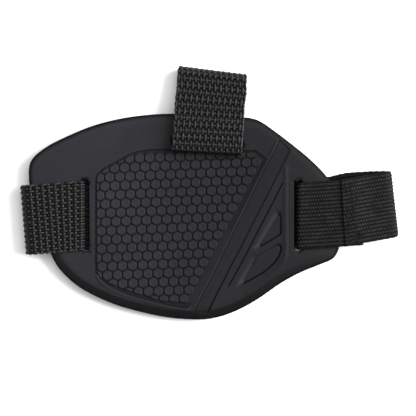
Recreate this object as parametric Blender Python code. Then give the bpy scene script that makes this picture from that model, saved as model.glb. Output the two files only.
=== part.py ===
"""Strap-on rubber shoe guard, lying face up on a flat surface.

A moulded pad has three slots. A hook-and-loop tape is ringed round the left bar and runs on
behind the pad, a lace loop of the same tape hangs in the top slot, and a wide elastic loop
hangs in the right slot. Lengths below are in millimetres, +Z is up, and +X is to the right.
"""
import math

import bmesh
import bpy
from mathutils import Vector

MM = 0.001

# Heights, from the surface the guard lies on
TAPE = 1.8  # thickness of the hook-and-loop tape
ELASTIC = 1.3  # thickness of the elastic
GAP = 0.3  # clearance between neighbouring layers
THREAD_SPACE = 0.4  # extra room under the left ring for its seam
BACK_LAYER_Z = TAPE + GAP + THREAD_SPACE
PAD_LOW = BACK_LAYER_Z + TAPE + GAP
PAD_THICKNESS = 3.0
PAD_HIGH = PAD_LOW + PAD_THICKNESS
TAPE_WIDTH = 31.1
ELASTIC_WIDTH = 30.0

# Pad outline, clockwise from the left end, joined by a smooth curve
PAD_OUTLINE = [
    (-81.7, 8.3), (-80.2, 14.9), (-74.2, 20.2), (-66.6, 24.3), (-54.0, 29.7), (-40.5, 33.3),
    (-27.0, 35.1), (-15.3, 35.5), (0.0, 35.0), (15.7, 33.9), (22.0, 32.4), (27.9, 28.6),
    (36.0, 22.5), (45.0, 15.1), (52.2, 7.7), (56.3, 0.5), (58.1, -10.0), (58.6, -19.0),
    (58.0, -25.6), (55.4, -29.9), (49.5, -32.5), (40.5, -36.2), (31.5, -41.2), (22.5, -47.5),
    (13.5, -52.6), (4.5, -56.0), (-4.5, -57.3), (-18.0, -56.5), (-31.5, -53.8),
    (-45.0, -49.7), (-58.5, -43.0), (-67.5, -34.9), (-71.8, -27.6), (-76.5, -16.0),
    (-80.2, -3.4),
]
CURVE_STEPS = 3  # straight pieces between two points of a smooth curve
RIM = [(0.7, 0.0), (0.0, 0.7), (0.0, 1.9), (0.5, 2.6), (1.9, PAD_THICKNESS)]  # (inset, height)

# Slots: centre, turn from the Y axis in degrees
SLOT_LENGTH = 32.5
SLOT_WIDTH = 3.4
LEFT_SLOT = (-56.4, -10.4, 0.0)
RIGHT_SLOT = (39.7, -10.4, 0.0)
TOP_SLOT = (-1.1, 22.3, 86.8)
SLOT_END_STEPS = 8

# Relief on the pad's face
HEX_FIELD = [
    (-51.5, 6.6), (-48.0, 10.8), (-36.0, 16.9), (-25.0, 18.8), (18.0, 17.8), (21.4, 14.2),
    (13.0, -4.0), (3.0, -22.0), (-6.0, -39.0), (-9.4, -50.2), (-22.5, -48.8), (-40.5, -43.0),
    (-49.5, -38.5), (-51.5, -34.8),
]
HEX_FIELD_DEPTH = 1.0
RIB = [(36.4, 19.0), (37.2, 15.6), (9.0, -41.6), (2.6, -53.4), (-0.4, -54.2), (6.2, -41.6)]
RIB_HEIGHT = 0.5
PANEL = [
    (34.8, 11.0), (34.8, -28.0), (33.6, -31.6), (26.1, -38.2), (17.1, -43.8), (8.2, -47.4),
    (10.2, -39.4), (32.8, 4.6),
]
PANEL_HEIGHT = 0.8
UPPER_WINDOW = [(29.7, -8.6), (21.2, -24.6), (22.0, -25.4), (32.2, -19.4), (32.2, -18.0)]
LOWER_WINDOW = [
    (19.8, -29.0), (30.4, -23.2), (32.2, -24.6), (30.1, -31.3), (23.4, -36.7), (12.4, -42.2),
]
WINDOW_DEPTH = 1.5
GUIDE_OVERLAP = 0.2  # how deep the raised relief starts inside the pad
CUT_CLEARANCE = 2.0  # how far a cutter runs past the surfaces it opens

# Left ring of tape round the left bar, and the strap that runs on behind the pad
LEFT_FOLD_X = -83.75
LEFT_RING_SLOT_X = -56.7
LEFT_RING_Y = -10.6
LEFT_RING_SLOPE = 0.077
LEFT_RING_TURN = 4.8  # turn of the ring's width beyond the stretch next to the slot
LEFT_RING_STRAIGHT = 2.0
LEFT_RING_TURN_LENGTH = 12.0
LEFT_SEAM_X = (-62.0, -66.0)
SLOT_CORNER = 1.5
STRAP_START_X = -54.9
STRAP_END_X = 38.4  # just clear of the elastic where it rises through the right slot
STRAP_Y = -9.7
HOOK_PATCH_LENGTH = 32.0
HOOK_PATCH_THICKNESS = 1.4
HOOK_PATCH_MARGIN = 0.6  # the patch stays this far inside the strap's edges and end
HOOK_PATCH_GAP = 0.1

# Top lace loop: distances run along the loop from its slot
LACE_SLOT_WALL = -1.1  # centre of the layer that rises against the slot's lower side
LACE_TAPE_IN_SLOT = 0.4
LACE_BEND = 1.5  # radius of the tape's turns into and out of the slot
LACE_HINGE_RISE = 0.75  # how far the flex line's front layer stands off the pad
LACE_HINGE_SAG = 1.05  # how far the flex line's rear layer hangs below the pad
LACE_HINGE = 15.6
LACE_FOLD = 33.6
LACE_TURN_START = 2.0
LACE_SLOT_TURN = -3.2
LACE_FOLD_TURN = -7.2
LACE_AXIS_LEAN = 4.0
LACE_CURL_RADIUS = 1.7
LACE_CURL_CENTRE = -2.9
LACE_CURL_LIFT = 0.1
LACE_SAG_STEP = 0.15
LACE_FOLD_DROP = 0.8
LACE_FROM_CURL = [(9.0, 1.0), (3.0, 0.2)]  # front layer: distance, fall from the curl's top
LACE_TO_FOLD = (22.0, 0.1)  # front layer: distance, height over the pad
LACE_REST_END = 23.5  # the rear layer lies flat on the ground from here to the fold
LACE_CLIMB = (19.6, 0.7)  # rear layer: distance, height over the ground
LACE_FLEX_STEP = 0.05
LACE_SEAM = (4.6, 7.4)

# Right elastic loop
ELASTIC_HINGE_X = 59.4
ELASTIC_LAP_END_X = 68.0
ELASTIC_FOLD_X = 83.3
ELASTIC_FRONT_DROP = 2.6
ELASTIC_IN_SLOT_X = 39.4
ELASTIC_BEND = 1.2  # radius of the elastic's turns into and out of the slot
ELASTIC_SAG = 0.5  # how far the rear layer hangs below the pad at the flex line
ELASTIC_SAG_STEP = 0.1
ELASTIC_FLAT_X = (46.0, 52.0)  # both layers run level over and under the pad's bar here
ELASTIC_FOLD_START = 4.3  # the fold's height is taken this far short of its end
ELASTIC_REAR_CLIMB = [(74.0, 0.1), (68.0, 0.6)]  # rear layer: X, height over the ground
ELASTIC_SEAM_X = (61.4, 64.1)
LAP_RISE = ELASTIC + 0.1
LAP_STEP = 0.05  # length over which the lap's step falls
# Centre line of each layer from above: (X, Y, turn of the width direction). The front layer
# climbs to the right in two turns, and the rear layer runs flatter.
ELASTIC_FRONT_PATH = [
    (40.0, -10.6, 0.0), (47.0, -10.2, 3.6), (61.0, -9.2, 3.6), (68.0, -7.7, 7.5), (84.0, -5.0, 6.5),
]
ELASTIC_REAR_PATH = [(40.0, -10.4, 0.0), (54.0, -7.9, 2.0), (63.0, -6.3, 3.0), (84.0, -4.8, 6.5)]
FLEX_GAP = 0.6  # gap left at each flex line between two links of one tape

# Seams
THREAD_WIDTH = 0.6
THREAD_THICKNESS = 0.25
THREAD_GAP = 0.08
SEAM_MARGIN = 1.6


def clear_scene():
    for item in list(bpy.data.objects):
        bpy.data.objects.remove(item, do_unlink=True)


def material(name, colour, roughness):
    made = bpy.data.materials.new(name)
    made.use_nodes = True
    shader = made.node_tree.nodes["Principled BSDF"]
    shader.inputs["Base Color"].default_value = (*colour, 1.0)
    shader.inputs["Roughness"].default_value = roughness
    shader.inputs["Metallic"].default_value = 0.0
    return made


def add_object(name, mesh_builder, finish):
    """Turns a bmesh in millimetres into an object in metres."""
    bmesh.ops.recalc_face_normals(mesh_builder, faces=mesh_builder.faces)
    bmesh.ops.scale(mesh_builder, vec=Vector((MM, MM, MM)), verts=mesh_builder.verts)
    mesh = bpy.data.meshes.new(name)
    mesh_builder.to_mesh(mesh)
    mesh_builder.free()
    if finish is not None:
        mesh.materials.append(finish)
    made = bpy.data.objects.new(name, mesh)
    bpy.context.scene.collection.objects.link(made)
    return made


def curve_through(points, steps, closed):
    """Catmull-Rom curve through points of any dimension."""
    count = len(points)
    spans = count if closed else count - 1
    sampled = []
    for i in range(spans):
        if closed:
            corners = [points[(i + k) % count] for k in (-1, 0, 1, 2)]
        else:
            corners = [points[min(max(i + k, 0), count - 1)] for k in (-1, 0, 1, 2)]
        a, b, c, d = [Vector(p) for p in corners]
        for step in range(steps):
            t = step / steps
            sampled.append(
                0.5 * (2 * b + (c - a) * t + (2 * a - 5 * b + 4 * c - d) * t * t
                       + (3 * b - a - 3 * c + d) * t * t * t)
            )
    if not closed:
        sampled.append(Vector(points[-1]))
    return sampled


def inset(loop, distance):
    """Moves each corner of a clockwise loop inwards, square to its neighbours' chord."""
    moved = []
    for i, point in enumerate(loop):
        chord = (loop[(i + 1) % len(loop)] - loop[i - 1]).normalized()
        moved.append(point + Vector((chord.y, -chord.x)) * distance)
    return moved


def stacked_loops(name, loops, finish):
    """Closed solid through level loops of equal length, each a list of (x, y, z)."""
    builder = bmesh.new()
    rings = [[builder.verts.new(p) for p in loop] for loop in loops]
    for low, high in zip(rings, rings[1:]):
        for i in range(len(low)):
            j = (i + 1) % len(low)
            builder.faces.new((low[i], low[j], high[j], high[i]))
    builder.faces.new(rings[0])
    builder.faces.new(list(reversed(rings[-1])))
    return add_object(name, builder, finish)


def prism(name, outline, low, high, finish=None):
    return stacked_loops(
        name, [[(x, y, z) for x, y in outline] for z in (low, high)], finish
    )


def combine(target, other, operation):
    """Boolean of target with a helper, which stays in the scene as a wire guide."""
    step = target.modifiers.new(other.name, "BOOLEAN")
    step.operation = operation
    step.solver = "EXACT"
    step.object = other
    other.hide_render = True
    other.display_type = "WIRE"


def slot_outline(slot):
    """Round-ended slot, long way along Y before it is turned."""
    centre_x, centre_y, turn = slot
    radius = SLOT_WIDTH / 2
    reach = SLOT_LENGTH / 2 - radius
    cos, sin = math.cos(math.radians(turn)), math.sin(math.radians(turn))
    outline = []
    for side in (1, -1):
        for step in range(SLOT_END_STEPS + 1):
            angle = math.pi * step / SLOT_END_STEPS
            x, y = side * radius * math.cos(angle), side * (reach + radius * math.sin(angle))
            outline.append((centre_x + x * cos - y * sin, centre_y + x * sin + y * cos))
    return outline


def pad_shell(finish):
    loop = curve_through(PAD_OUTLINE, CURVE_STEPS, closed=True)
    loops = [
        [(p.x, p.y, PAD_LOW + height) for p in inset(loop, distance)]
        for distance, height in RIM
    ]
    pad = stacked_loops("pad_shell", loops, finish)
    base = PAD_HIGH - GUIDE_OVERLAP
    combine(pad, prism("rib_guide", RIB, base, PAD_HIGH + RIB_HEIGHT), "UNION")
    combine(pad, prism("panel_guide", PANEL, base, PAD_HIGH + PANEL_HEIGHT), "UNION")
    below, above = PAD_LOW - CUT_CLEARANCE, PAD_HIGH + PANEL_HEIGHT + CUT_CLEARANCE
    cutters = [
        ("left_slot", slot_outline(LEFT_SLOT), below),
        ("right_slot", slot_outline(RIGHT_SLOT), below),
        ("top_slot", slot_outline(TOP_SLOT), below),
        ("hex_field", HEX_FIELD, PAD_HIGH - HEX_FIELD_DEPTH),
        ("upper_window", UPPER_WINDOW, PAD_HIGH + PANEL_HEIGHT - WINDOW_DEPTH),
        ("lower_window", LOWER_WINDOW, PAD_HIGH + PANEL_HEIGHT - WINDOW_DEPTH),
    ]
    for name, outline, low in cutters:
        combine(pad, prism(name + "_cutter", outline, low, above), "DIFFERENCE")
    return pad


def arc(centre, radius, start, end, steps):
    """Points of an arc in a route's own (distance, height) plane, angles in degrees."""
    return [
        (centre[0] + radius * math.cos(math.radians(start + (end - start) * i / steps)),
         centre[1] + radius * math.sin(math.radians(start + (end - start) * i / steps)))
        for i in range(steps + 1)
    ]


def ribbon(name, stations, width, closed, finish):
    """Flat tape through stations (centre, width direction, thickness above, thickness below)."""
    builder = bmesh.new()
    sections = []
    count = len(stations)
    for i, (centre, across, above, below) in enumerate(stations):
        after = stations[(i + 1) % count if closed else min(i + 1, count - 1)][0]
        before = stations[i - 1 if closed else max(i - 1, 0)][0]
        tangent = (after - before).normalized()
        normal = tangent.cross(across).normalized()
        half = across * (width / 2)
        corners = (half + normal * above, -half + normal * above,
                   -half - normal * below, half - normal * below)
        sections.append([builder.verts.new(centre + corner) for corner in corners])
    pairs = list(zip(sections, sections[1:]))
    if closed:
        pairs.append((sections[-1], sections[0]))
    else:
        builder.faces.new(sections[0])
        builder.faces.new(list(reversed(sections[-1])))
    for first, second in pairs:
        for i in range(4):
            j = (i + 1) % 4
            builder.faces.new((first[i], first[j], second[j], second[i]))
    return add_object(name, builder, finish)


def mix(low, high, share):
    return low + (high - low) * min(max(share, 0.0), 1.0)


def along_y(turn):
    """Width direction turned from +Y, anticlockwise seen from above, in degrees."""
    return Vector((-math.sin(math.radians(turn)), math.cos(math.radians(turn)), 0.0))


def along_x(turn):
    return Vector((math.cos(math.radians(turn)), math.sin(math.radians(turn)), 0.0))


def left_station(x, z):
    past = LEFT_RING_SLOT_X - LEFT_RING_STRAIGHT - x
    turn = mix(0.0, LEFT_RING_TURN, past / LEFT_RING_TURN_LENGTH)
    y = LEFT_RING_Y + (x - LEFT_RING_SLOT_X) * LEFT_RING_SLOPE
    return Vector((x, y, z)), along_y(turn), TAPE / 2, TAPE / 2


def left_strap_ring(finish):
    back = BACK_LAYER_Z + TAPE / 2
    front = PAD_HIGH + GAP + TAPE / 2
    fold_radius = (front - back) / 2
    fold_x = LEFT_FOLD_X + fold_radius + TAPE / 2
    corner_x = LEFT_RING_SLOT_X - SLOT_CORNER
    route = arc((corner_x, front - SLOT_CORNER), SLOT_CORNER, 0, 90, 4)
    route += arc((fold_x, back + fold_radius), fold_radius, 90, 270, 12)
    route += arc((corner_x, back + SLOT_CORNER), SLOT_CORNER, 270, 360, 4)
    stations = [left_station(x, z) for x, z in route]
    return ribbon("left_strap_ring", stations, TAPE_WIDTH, True, finish)


def sole_strap(finish):
    centre_z = BACK_LAYER_Z + TAPE / 2
    stations = [
        (Vector((x, STRAP_Y, centre_z)), along_y(0.0), TAPE / 2, TAPE / 2)
        for x in (STRAP_START_X, STRAP_END_X)
    ]
    return ribbon("sole_strap", stations, TAPE_WIDTH, False, finish)


def hook_patch(finish):
    high = BACK_LAYER_Z - HOOK_PATCH_GAP
    stations = [
        (Vector((x, STRAP_Y, high)), along_y(0.0), 0.0, HOOK_PATCH_THICKNESS)
        for x in (STRAP_END_X - HOOK_PATCH_LENGTH, STRAP_END_X - HOOK_PATCH_MARGIN)
    ]
    return ribbon("hook_patch", stations, TAPE_WIDTH - 2 * HOOK_PATCH_MARGIN, False, finish)


def lace_route():
    """The loop's centre line as (distance from the slot, height), from its front flex line
    round the lower curl, through the slot and back to its rear flex line."""
    over = PAD_HIGH + GAP + TAPE / 2
    under = PAD_LOW - GAP - TAPE / 2
    curl_z = over + LACE_CURL_LIFT + LACE_CURL_RADIUS
    top = curl_z + LACE_CURL_RADIUS
    end = LACE_HINGE - FLEX_GAP / 2
    front = curve_through(
        [(end, over + LACE_HINGE_RISE)] + [(d, top - fall) for d, fall in LACE_FROM_CURL],
        CURVE_STEPS, closed=False
    )
    curl = arc((LACE_CURL_CENTRE, curl_z), LACE_CURL_RADIUS, 90, 270, 10)
    bend_z = over + LACE_CURL_LIFT - LACE_BEND
    into_slot = arc((LACE_SLOT_WALL, bend_z), LACE_BEND, 90, 0, 4)
    out_of_slot = arc((LACE_TAPE_IN_SLOT + LACE_BEND, under + LACE_BEND), LACE_BEND, 180, 270, 4)
    back = [(LACE_SEAM[1] + FLEX_GAP, under), (end, under - LACE_HINGE_SAG + LACE_SAG_STEP)]
    return [tuple(p) for p in front] + curl + into_slot + out_of_slot + back


def lace_end_route():
    """From the front flex line out to the fold and back to the rear flex line."""
    over = PAD_HIGH + GAP + TAPE / 2
    under = PAD_LOW - GAP - TAPE / 2
    floor_z = TAPE / 2
    fold_front = over - LACE_FOLD_DROP
    radius = (fold_front - floor_z) / 2
    fold = arc((LACE_FOLD - TAPE / 2 - radius, floor_z + radius), radius, 90, -90, 12)
    start = LACE_HINGE + FLEX_GAP / 2
    front = curve_through(
        [(start, over + LACE_HINGE_RISE - LACE_FLEX_STEP),
         (LACE_TO_FOLD[0], over + LACE_TO_FOLD[1]), fold[0]],
        CURVE_STEPS, closed=False
    )
    back = curve_through(
        [(LACE_REST_END, floor_z), (LACE_CLIMB[0], floor_z + LACE_CLIMB[1]),
         (start, under - LACE_HINGE_SAG)],
        CURVE_STEPS, closed=False
    )
    return [tuple(p) for p in front[:-1]] + fold + [tuple(p) for p in back]


def lace_station(distance, z):
    lean = math.radians(LACE_AXIS_LEAN)
    x = TOP_SLOT[0] + distance * math.sin(lean)
    y = TOP_SLOT[1] + distance * math.cos(lean)
    share = (distance - LACE_TURN_START) / (LACE_FOLD - LACE_TURN_START)
    turn = mix(LACE_SLOT_TURN, LACE_FOLD_TURN, share)
    return Vector((x, y, z)), along_x(turn), TAPE / 2, TAPE / 2


def elastic_station(x, z, path=ELASTIC_FRONT_PATH, below=ELASTIC / 2):
    for (x0, y0, t0), (x1, y1, t1) in zip(path, path[1:]):
        if x <= x1 or (x1, y1, t1) == path[-1]:
            share = (x - x0) / (x1 - x0)
            return (Vector((x, mix(y0, y1, share), z)), along_y(mix(t0, t1, share)),
                    ELASTIC / 2, below)


def elastic_root(finish):
    over = PAD_HIGH + GAP + ELASTIC / 2
    under = PAD_LOW - GAP - ELASTIC / 2
    end = ELASTIC_HINGE_X - FLEX_GAP / 2
    turn_x = ELASTIC_IN_SLOT_X + ELASTIC_BEND
    near, far = ELASTIC_FLAT_X
    front = [(end, over), (far, over), (near, over)]
    turn_in = arc((turn_x, over - ELASTIC_BEND), ELASTIC_BEND, 90, 180, 4)
    turn_out = arc((turn_x, under + ELASTIC_BEND), ELASTIC_BEND, 180, 270, 4)
    back = [(near, under), (far, under), (end, under - ELASTIC_SAG)]
    stations = [elastic_station(x, z) for x, z in front + turn_in]
    stations += [elastic_station(x, z, ELASTIC_REAR_PATH) for x, z in turn_out + back]
    return ribbon("elastic_root", stations, ELASTIC_WIDTH, False, finish)


def elastic_front_z(x):
    """Height of the upper layer's centre between the flex line and the outer fold."""
    over = PAD_HIGH + GAP + ELASTIC / 2 + LAP_RISE
    share = (x - ELASTIC_HINGE_X) / (ELASTIC_FOLD_X - ELASTIC_HINGE_X)
    return over - ELASTIC_FRONT_DROP * share


def elastic_end(finish):
    floor_z = ELASTIC / 2
    start = ELASTIC_HINGE_X + FLEX_GAP / 2
    both = ELASTIC / 2 + LAP_RISE
    lap = [(start, both), (ELASTIC_LAP_END_X - LAP_STEP, both), (ELASTIC_LAP_END_X, ELASTIC / 2)]
    radius = (elastic_front_z(ELASTIC_FOLD_X - ELASTIC_FOLD_START) - floor_z) / 2
    fold = arc((ELASTIC_FOLD_X - ELASTIC / 2 - radius, floor_z + radius), radius, 90, -90, 12)
    middle = len(fold) // 2 + 1
    stations = [elastic_station(x, elastic_front_z(x), below=below) for x, below in lap]
    stations += [elastic_station(x, z) for x, z in fold[:middle]]
    stations += [elastic_station(x, z, ELASTIC_REAR_PATH) for x, z in fold[middle:]]
    under = PAD_LOW - GAP - ELASTIC / 2
    back = curve_through(
        [(x, floor_z + lift) for x, lift in ELASTIC_REAR_CLIMB]
        + [(start, under - ELASTIC_SAG - ELASTIC_SAG_STEP)],
        CURVE_STEPS, closed=False
    )
    stations += [elastic_station(x, z, ELASTIC_REAR_PATH) for x, z in back]
    return ribbon("elastic_end", stations, ELASTIC_WIDTH, False, finish)


def thread_row(name, centre, across, face, width, finish):
    """One row of stitching across a tape, a hair off a face this far above the centre."""
    side = math.copysign(1.0, face)
    middle = centre + Vector((0, 0, face + side * (THREAD_GAP + THREAD_THICKNESS / 2)))
    forward = Vector((across.y, -across.x, 0.0)) * (THREAD_WIDTH / 2)
    stations = [
        (middle + forward * end, across, THREAD_THICKNESS / 2, THREAD_THICKNESS / 2)
        for end in (-1, 1)
    ]
    return ribbon(name, stations, width - 2 * SEAM_MARGIN, False, finish)


def frame_of_thread(name, low_x, high_x, finish):
    """Stitching round the edge of the hook patch, on its lower face."""
    outer_y = TAPE_WIDTH / 2 - HOOK_PATCH_MARGIN - SEAM_MARGIN
    high = BACK_LAYER_Z - HOOK_PATCH_GAP - HOOK_PATCH_THICKNESS - THREAD_GAP
    builder = bmesh.new()
    rings = []
    for z in (high - THREAD_THICKNESS, high):
        for reduce in (0.0, THREAD_WIDTH):
            rings.append([
                builder.verts.new((x, STRAP_Y + y, z))
                for x, y in (
                    (low_x + reduce, reduce - outer_y), (high_x - reduce, reduce - outer_y),
                    (high_x - reduce, outer_y - reduce), (low_x + reduce, outer_y - reduce),
                )
            ])
    low_out, low_in, high_out, high_in = rings
    for first, second in ((low_out, high_out), (high_out, high_in), (high_in, low_in),
                          (low_in, low_out)):
        for i in range(4):
            j = (i + 1) % 4
            builder.faces.new((first[i], first[j], second[j], second[i]))
    return add_object(name, builder, finish)


def build_elastic_seam(finish):
    """Two lock-stitched rows through the lap: needle threads above, bobbin threads below."""
    lift = ELASTIC_FRONT_DROP / (ELASTIC_FOLD_X - ELASTIC_HINGE_X) * THREAD_WIDTH
    upper = ELASTIC / 2 + lift
    lower = -ELASTIC / 2 - LAP_RISE - lift
    for row, x in enumerate(ELASTIC_SEAM_X, start=1):
        centre, across, _, _ = elastic_station(x, elastic_front_z(x))
        thread_row(f"elastic_needle_thread_{row}", centre, across, upper, ELASTIC_WIDTH, finish)
        thread_row(f"elastic_bobbin_thread_{row}", centre, across, lower, ELASTIC_WIDTH, finish)


def build():
    clear_scene()
    rubber = material("rubber", (0.022, 0.022, 0.024), 0.62)
    tape = material("tape", (0.018, 0.018, 0.02), 0.8)
    elastic = material("elastic", (0.02, 0.02, 0.022), 0.75)
    hook = material("hook", (0.015, 0.015, 0.016), 0.7)
    thread = material("thread", (0.02, 0.02, 0.022), 0.6)

    pad_shell(rubber)
    left_strap_ring(tape)
    for row, x in enumerate(LEFT_SEAM_X, start=1):
        centre, across, _, below = left_station(x, BACK_LAYER_Z + TAPE / 2)
        thread_row(f"left_seam_thread_{row}", centre, across, -below, TAPE_WIDTH, thread)
    sole_strap(tape)
    hook_patch(hook)
    frame_of_thread("hook_patch_thread", STRAP_END_X - HOOK_PATCH_LENGTH + SEAM_MARGIN,
                    STRAP_END_X - HOOK_PATCH_MARGIN - SEAM_MARGIN, thread)
    lace_root = [lace_station(d, z) for d, z in lace_route()]
    ribbon("lace_loop_root", lace_root, TAPE_WIDTH, False, tape)
    for row, distance in enumerate(LACE_SEAM, start=1):
        centre, across, _, below = lace_station(distance, PAD_LOW - GAP - TAPE / 2)
        thread_row(f"lace_seam_thread_{row}", centre, across, -below, TAPE_WIDTH, thread)
    lace_end = [lace_station(d, z) for d, z in lace_end_route()]
    ribbon("lace_loop_end", lace_end, TAPE_WIDTH, False, tape)
    elastic_root(elastic)
    elastic_end(elastic)
    build_elastic_seam(thread)


build()
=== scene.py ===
"""Looks of the strap-on rubber shoe guard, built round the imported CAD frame."""

import math

import bmesh
import bpy
import numpy as np
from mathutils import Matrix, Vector
from mathutils.geometry import delaunay_2d_cdt


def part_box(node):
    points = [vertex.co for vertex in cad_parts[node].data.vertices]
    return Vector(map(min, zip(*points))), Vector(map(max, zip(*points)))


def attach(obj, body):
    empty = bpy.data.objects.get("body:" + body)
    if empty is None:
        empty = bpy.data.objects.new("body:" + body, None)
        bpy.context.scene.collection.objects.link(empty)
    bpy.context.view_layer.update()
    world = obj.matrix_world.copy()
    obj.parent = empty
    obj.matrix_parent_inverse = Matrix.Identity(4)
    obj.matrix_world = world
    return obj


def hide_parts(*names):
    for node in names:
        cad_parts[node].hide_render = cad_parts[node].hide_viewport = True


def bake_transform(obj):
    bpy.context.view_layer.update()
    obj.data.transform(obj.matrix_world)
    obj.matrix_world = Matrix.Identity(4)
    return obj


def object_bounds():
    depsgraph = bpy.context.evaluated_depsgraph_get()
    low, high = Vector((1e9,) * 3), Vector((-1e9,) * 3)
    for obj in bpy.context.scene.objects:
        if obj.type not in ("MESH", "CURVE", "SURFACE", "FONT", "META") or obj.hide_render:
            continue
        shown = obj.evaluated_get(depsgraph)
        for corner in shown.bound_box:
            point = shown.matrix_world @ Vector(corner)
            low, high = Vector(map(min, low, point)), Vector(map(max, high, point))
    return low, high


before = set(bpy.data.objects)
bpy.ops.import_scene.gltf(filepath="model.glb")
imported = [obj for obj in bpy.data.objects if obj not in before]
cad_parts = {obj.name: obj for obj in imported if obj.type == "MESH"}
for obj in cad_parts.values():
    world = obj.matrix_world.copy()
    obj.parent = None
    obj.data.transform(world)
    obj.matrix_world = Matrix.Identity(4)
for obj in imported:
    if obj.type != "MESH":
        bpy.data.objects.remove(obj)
CAD_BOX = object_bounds()
MM = 0.001

# ---------------------------------------------------------------- places, from the CAD frame


def node_box(name):
    """A CAD node's box in millimetres, as two numpy corners."""
    low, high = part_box(name)
    return np.array(low) / MM, np.array(high) / MM


PAD_BOX = node_box("pad_shell")
PAD_LOW = PAD_BOX[0][2]
PAD_THICKNESS = 3.0
PAD_HIGH = PAD_LOW + PAD_THICKNESS


def pad_outline():
    """The CAD pad's widest loop, in order round its centre, as a smooth curve."""
    points = {
        (round(v.co.x / MM, 3), round(v.co.y / MM, 3))
        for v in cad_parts["pad_shell"].data.vertices
        if abs(v.co.z / MM - PAD_LOW - 0.7) < 0.01
    }
    loop = sorted(points, key=lambda p: -math.atan2(p[1] + 10.0, p[0] + 10.0))
    return smooth(loop, closed=True)


# ---------------------------------------------------------------- plane geometry


def smooth(points, steps=3, closed=False):
    """Catmull-Rom curve through the points, with so many steps from one to the next."""
    b = np.asarray(points, float)
    if closed:
        a, c, d = (np.roll(b, k, axis=0) for k in (1, -1, -2))
    else:
        padded = np.vstack([2 * b[0] - b[1], b, 2 * b[-1] - b[-2]])
        a, b, c, d = padded[:-3], padded[1:-2], padded[2:-1], padded[3:]
    t = (np.arange(steps) / steps)[:, None, None]
    curve = 0.5 * (2 * b + (c - a) * t + (2 * a - 5 * b + 4 * c - d) * t ** 2
                   + (3 * b - a - 3 * c + d) * t ** 3)
    curve = curve.transpose(1, 0, 2).reshape(-1, 2)
    return curve if closed else np.vstack([curve, padded[-2]])


def run_along(path):
    """Length along a path at each of its points."""
    return np.concatenate([[0], np.cumsum(np.linalg.norm(np.diff(path, axis=0), axis=1))])


def at_lengths(columns, lengths, places):
    """Rows of a table looked up by length."""
    return np.stack([np.interp(places, lengths, column) for column in columns.T], axis=1)


def left_of(path):
    """Unit direction to the left of an open path at each of its points."""
    direction = np.gradient(path, axis=0)
    direction /= np.linalg.norm(direction, axis=1)[:, None]
    return np.stack([-direction[:, 1], direction[:, 0]], axis=1)


def chords(loop):
    """Unit direction of a closed loop at each of its points."""
    chord = np.roll(loop, -1, axis=0) - np.roll(loop, 1, axis=0)
    return chord / np.linalg.norm(chord, axis=1)[:, None]


def inset_loop(loop, distance):
    """A clockwise loop moved inwards, or outwards where the distance is negative."""
    along = chords(loop)
    return loop + np.stack([along[:, 1], -along[:, 0]], axis=1) * distance


def inside(points, polygon):
    """Which of the points lie in the polygon."""
    x, y = points[:, 0], points[:, 1]
    found = np.zeros(len(points), bool)
    for (x0, y0), (x1, y1) in zip(polygon, np.roll(polygon, -1, axis=0)):
        if y0 != y1:
            crosses = (y0 > y) != (y1 > y)
            found ^= crosses & (x < (x1 - x0) * (y - y0) / (y1 - y0) + x0)
    return found


def distance_to(points, loop):
    """Distance of each point to the closed loop's nearest side."""
    nearest = np.full(len(points), 1e9)
    for a, b in zip(loop, np.roll(loop, -1, axis=0)):
        side = b - a
        share = np.clip(((points - a) @ side) / max(side @ side, 1e-12), 0, 1)
        gap = np.linalg.norm(points - a - share[:, None] * side, axis=1)
        nearest = np.minimum(nearest, gap)
    return nearest


def clip_side(polygon, start, inward):
    """The part of a convex polygon on the inner side of a line."""
    kept = []
    for i, point in enumerate(polygon):
        before = polygon[i - 1]
        level, level_before = (point - start) @ inward, (before - start) @ inward
        if (level > -1e-9) != (level_before > -1e-9):
            kept.append(before + (point - before) * level_before / (level_before - level))
        if level > -1e-9:
            kept.append(point)
    return np.array(kept) if len(kept) > 2 else np.zeros((0, 2))


def clip_convex(polygon, clipper, inset=0.0):
    """The part of a polygon inside a clockwise convex one, whose sides are first moved
    inwards."""
    side = np.roll(clipper, -1, axis=0) - clipper
    length = np.linalg.norm(side, axis=1)
    keep = length > 1e-6
    side = side[keep] / length[keep][:, None]
    for start, inward in zip(clipper[keep], np.stack([side[:, 1], -side[:, 0]], axis=1)):
        polygon = clip_side(polygon, start + inward * inset, inward)
        if not len(polygon):
            break
    return polygon


def area_of(polygon):
    if len(polygon) < 3:
        return 0.0
    x, y = polygon[:, 0], polygon[:, 1]
    return abs(np.sum(x * np.roll(y, -1) - y * np.roll(x, -1))) / 2


def round_corners(polygon, radius, steps):
    """A convex polygon with its corners cut back along short curves."""
    ends = []
    for side in (np.roll(polygon, 1, axis=0) - polygon, np.roll(polygon, -1, axis=0) - polygon):
        length = np.maximum(np.linalg.norm(side, axis=1), 1e-9)
        ends.append(polygon + side * np.minimum(radius / length, 0.4)[:, None])
    t = np.linspace(0, 1, steps + 1)[:, None, None]
    curve = ends[0] * (1 - t) ** 2 + polygon * 2 * t * (1 - t) + ends[1] * t ** 2
    return curve.transpose(1, 0, 2).reshape(-1, 2)


def strip(path, half_width, steps=4):
    """Clockwise outline of a band of even width along a path, with round ends."""
    path = np.asarray(path, float)
    left = left_of(path)
    ends = []
    for point, (x, y) in ((path[-1], left[-1]), (path[0], -left[0])):
        angles = math.atan2(y, x) - np.pi * np.arange(1, steps) / steps
        ends.append(point + half_width * np.stack([np.cos(angles), np.sin(angles)], axis=1))
    return np.vstack([path + left * half_width, ends[0],
                      (path - left * half_width)[::-1], ends[1]])


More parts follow.
